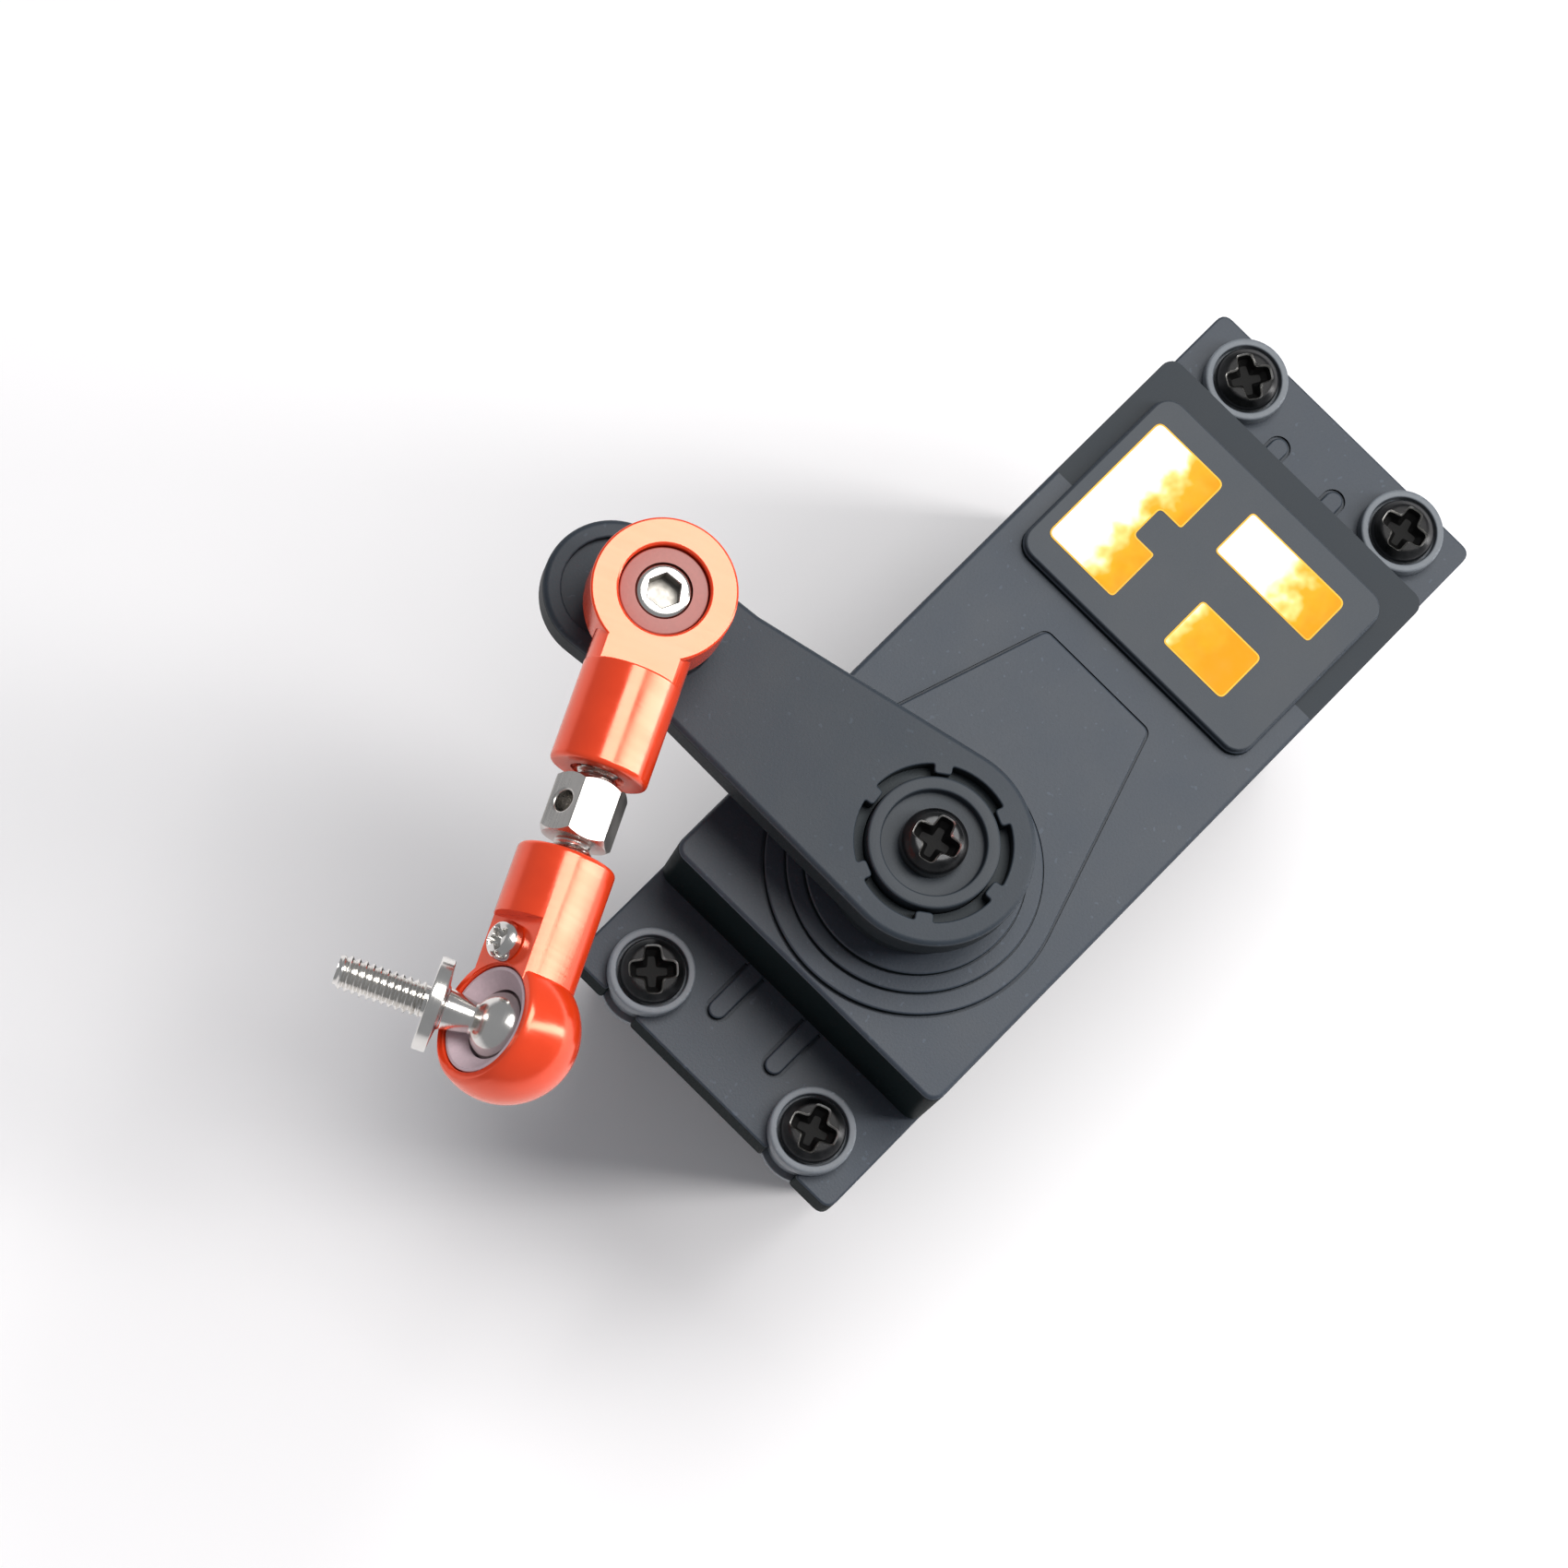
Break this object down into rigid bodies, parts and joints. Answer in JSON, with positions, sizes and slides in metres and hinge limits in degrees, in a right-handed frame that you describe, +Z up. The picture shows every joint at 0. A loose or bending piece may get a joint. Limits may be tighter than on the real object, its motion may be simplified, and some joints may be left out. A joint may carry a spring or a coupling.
{
  "type": "servo motor",
  "caption": "Standard-size radio-control servo with splined output, servo arm and a red adjustable ball link that turns the arm's swing into a pull on a lever.",
  "frame": {"origin": "on the case's bottom face, where the output shaft's axis meets it", "axes": "+X along the case from the output shaft towards the motor, +Z up along the output shaft, +Y across the case"},
  "size_m": [0.0681, 0.0357, 0.0506],
  "materials": {
    "case_plastic": "moulded black glass-filled nylon, fine matte texture",
    "label_print": "dark printed plate with plain orange and white blocks",
    "rubber": "moulded rubber",
    "black_steel": "black oxide steel, glossy",
    "bronze": "sintered bronze",
    "shaft_steel": "ground steel",
    "can_steel": "zinc-plated pressed steel",
    "nylon": "natural nylon",
    "ferrite": "pressed ferrite",
    "brass": "brass",
    "copper": "enamelled copper wire",
    "core_iron": "laminated silicon steel",
    "board_green": "solder mask on glass epoxy",
    "chip_black": "moulded epoxy",
    "arm_plastic": "moulded black plastic",
    "insert_plastic": "harder moulded plastic, satin",
    "stud_steel": "nickel-plated turned steel",
    "red_anodised": "bright red anodised aluminium",
    "liner_dark": "red-brown acetal liner",
    "liner_pale": "pale acetal liner"
  },
  "bodies": {
    "case": {"upper_case": "case_plastic", "middle_case": "case_plastic", "lower_case": "case_plastic", "label": "label_print", "cable_inlet": "rubber", "case_screw_1": "black_steel", "case_screw_2": "black_steel", "case_screw_3": "black_steel", "case_screw_4": "black_steel", "ear_grommet_1": "rubber", "ear_grommet_2": "rubber", "ear_grommet_3": "rubber", "ear_grommet_4": "rubber", "ear_screw_1": "black_steel", "ear_screw_2": "black_steel", "ear_screw_3": "black_steel", "ear_screw_4": "black_steel", "output_bush": "bronze", "gear_axle": "shaft_steel", "motor_can": "can_steel", "motor_end_cap": "nylon", "motor_lower_bush": "bronze", "motor_upper_bush": "bronze", "motor_magnet_1": "ferrite", "motor_magnet_2": "ferrite", "motor_brush_1": "brass", "motor_brush_2": "brass", "pot_body": "can_steel", "pot_track": "chip_black", "pot_header": "nylon", "circuit_board": "board_green", "control_chip": "chip_black", "driver_chip": "chip_black", "board_capacitor": "chip_black"},
    "rotor": {"motor_shaft": "shaft_steel", "motor_pinion": "brass", "rotor_core": "core_iron", "rotor_windings": "copper", "commutator": "brass"},
    "first_wheel": {"first_gear": "nylon"},
    "second_wheel": {"second_gear": "nylon"},
    "third_wheel": {"third_gear": "nylon"},
    "output": {"output_gear": "nylon", "pot_shaft": "shaft_steel", "pot_wiper": "brass", "hub_insert": "insert_plastic", "arm_screw": "black_steel", "servo_arm": "arm_plastic", "arm_ball_stud": "stud_steel", "arm_stud_nut": "stud_steel"},
    "link_upper": {"upper_rod_end": "red_anodised", "upper_liner": "liner_dark"},
    "link_turnbuckle": {"turnbuckle": "stud_steel"},
    "link_lower": {"lower_rod_end": "red_anodised", "lower_liner": "liner_pale", "clamp_screw": "stud_steel"},
    "link_stud": {"lower_ball_stud": "stud_steel"}
  },
  "joints": [
    {"name": "motor_spin", "type": "hinge", "parent": "case", "child": "rotor", "pos_m": [0.0168, 0, 0.0183], "axis": [0, 0, 1], "range_deg": [-7200, 7200]},
    {"name": "first_gear_spin", "type": "hinge", "parent": "case", "child": "first_wheel", "pos_m": [0.0084, 0, 0.029], "axis": [0, 0, 1], "range_deg": [-1964, 1964]},
    {"name": "second_gear_spin", "type": "hinge", "parent": "case", "child": "second_wheel", "pos_m": [0, 0, 0.031], "axis": [0, 0, 1], "range_deg": [-614, 614]},
    {"name": "third_gear_spin", "type": "hinge", "parent": "case", "child": "third_wheel", "pos_m": [0.0084, 0, 0.0326], "axis": [0, 0, 1], "range_deg": [-192, 192]},
    {"name": "output_turn", "type": "hinge", "parent": "case", "child": "output", "pos_m": [0, 0, 0.0365], "axis": [0, 0, 1], "range_deg": [-60, 60]},
    {"name": "link_swing", "type": "hinge", "parent": "output", "child": "link_upper", "pos_m": [-0.00214, 0.01938, 0.0468], "axis": [0, 0, 1], "range_deg": [-250, 35]},
    {"name": "turnbuckle_turn", "type": "hinge", "parent": "link_upper", "child": "link_turnbuckle", "pos_m": [-0.00214, 0.01938, 0.0468], "axis": [-0.9041, -0.4274, 0], "range_deg": [-361, 1081]},
    {"name": "link_length", "type": "slide", "parent": "link_upper", "child": "link_lower", "axis": [-0.9041, -0.4274, 0], "range_m": [-0.0008, 0.0024]},
    {"name": "stud_spin", "type": "hinge", "parent": "link_lower", "child": "link_stud", "pos_m": [-0.02456, 0.00878, 0.0468], "axis": [-0.4273, 0.9039, -0.0175], "continuous": true}
  ],
  "couplings": [
    {"joint": "first_gear_spin", "follows": "motor_spin", "ratio": -0.27273},
    {"joint": "second_gear_spin", "follows": "motor_spin", "ratio": 0.085227},
    {"joint": "third_gear_spin", "follows": "motor_spin", "ratio": -0.026634},
    {"joint": "output_turn", "follows": "motor_spin", "ratio": 0.008323},
    {"joint": "turnbuckle_turn", "follows": "link_length", "rad_per_m": 7854}
  ]
}
